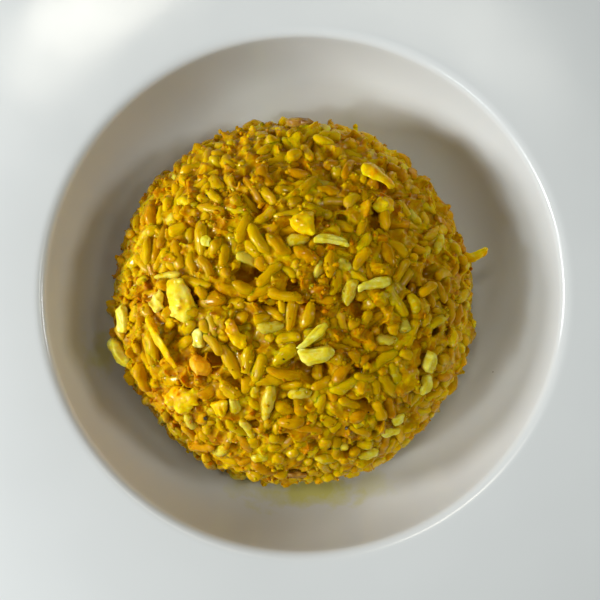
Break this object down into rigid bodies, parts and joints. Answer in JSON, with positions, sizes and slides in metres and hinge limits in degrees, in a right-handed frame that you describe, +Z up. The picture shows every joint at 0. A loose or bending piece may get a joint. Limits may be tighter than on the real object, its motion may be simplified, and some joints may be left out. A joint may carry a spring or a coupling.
{
  "type": "fried rice plate",
  "caption": "Wide-rimmed deep white plate with a turned-out mound of golden fried rice, egg crumbs and bits of cabbage and shallot in its well.",
  "frame": {"origin": "on the plate's axis, on the surface that the foot ring stands on", "axes": "+Z up through the middle of the plate, +X to the right and +Y to the back of the plate as it is looked down on"},
  "size_m": [0.28, 0.28, 0.0607],
  "materials": {
    "porcelain": "glossy clear glaze on white porcelain, bare on the foot ring",
    "rice": "cooked rice stained golden with turmeric, lightly oiled",
    "egg": "soft scrambled egg, slightly moist",
    "egg_white": "set egg white, slightly moist",
    "cabbage": "wilted pale cabbage, moist and a little see-through",
    "shallot": "fried shallot, browned and moist"
  },
  "bodies": {
    "root": {"plate": "porcelain", "rice_mound": "rice", "egg_lump_left": "egg", "egg_white_left": "egg_white", "egg_strip_left": "egg", "egg_lump_back": "egg", "egg_strip_front": "egg", "egg_curl_left": "egg", "egg_curd_left": "egg", "egg_strip_right": "egg", "egg_bit_right": "egg", "cabbage_front": "cabbage", "cabbage_edge_left": "cabbage", "cabbage_side_left": "cabbage", "cabbage_right_upper": "cabbage", "cabbage_right_lower": "cabbage", "shallot_back": "shallot"}
  },
  "joints": []
}
